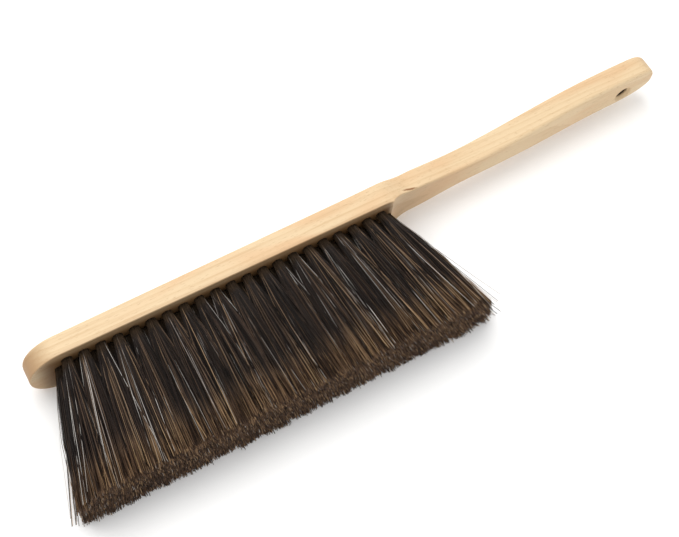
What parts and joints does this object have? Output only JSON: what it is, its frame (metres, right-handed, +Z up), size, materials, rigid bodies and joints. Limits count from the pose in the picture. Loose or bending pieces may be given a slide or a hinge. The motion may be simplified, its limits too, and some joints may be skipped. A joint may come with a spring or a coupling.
{
  "type": "bench brush",
  "caption": "Flour and counter brush: a one-piece pale wooden block with a swept handle and hang hole, set with staggered rows of soft dark bristle tufts.",
  "frame": {"origin": "on the table under the middle of the brush's box, with the brush lying on the side of its head", "axes": "+X from the round nose of the head to the hang hole, +Y from the bristle tips to the back of the block, +Z up across the width of the brush"},
  "size_m": [0.3508, 0.0838, 0.032],
  "materials": {
    "hardwood": "satin",
    "bristle": "satin",
    "anchor_wire": "satin"
  },
  "bodies": {
    "root": {"block_and_handle": "hardwood", "tufts_a_01": "bristle", "tufts_a_02": "bristle", "tufts_a_03": "bristle", "tufts_a_04": "bristle", "tufts_a_05": "bristle", "tufts_a_06": "bristle", "tufts_a_07": "bristle", "tufts_a_08": "bristle", "tufts_a_09": "bristle", "tufts_a_10": "bristle", "tufts_a_11": "bristle", "tufts_b_01": "bristle", "tufts_b_02": "bristle", "tufts_b_03": "bristle", "tufts_b_04": "bristle", "tufts_b_05": "bristle", "tufts_b_06": "bristle", "tufts_b_07": "bristle", "tufts_b_08": "bristle", "tufts_b_09": "bristle", "tufts_b_10": "bristle", "tufts_b_11": "bristle", "tufts_c_01": "bristle", "tufts_c_02": "bristle", "tufts_c_03": "bristle", "tufts_c_04": "bristle", "tufts_c_05": "bristle", "tufts_c_06": "bristle", "tufts_c_07": "bristle", "tufts_c_08": "bristle", "tufts_c_09": "bristle", "tufts_c_10": "bristle", "tufts_c_11": "bristle", "tufts_d_01": "bristle", "tufts_d_02": "bristle", "tufts_d_03": "bristle", "tufts_d_04": "bristle", "tufts_d_05": "bristle", "tufts_d_06": "bristle", "tufts_d_07": "bristle", "tufts_d_08": "bristle", "tufts_d_09": "bristle", "tufts_d_10": "bristle", "tufts_d_11": "bristle"}
  },
  "joints": []
}
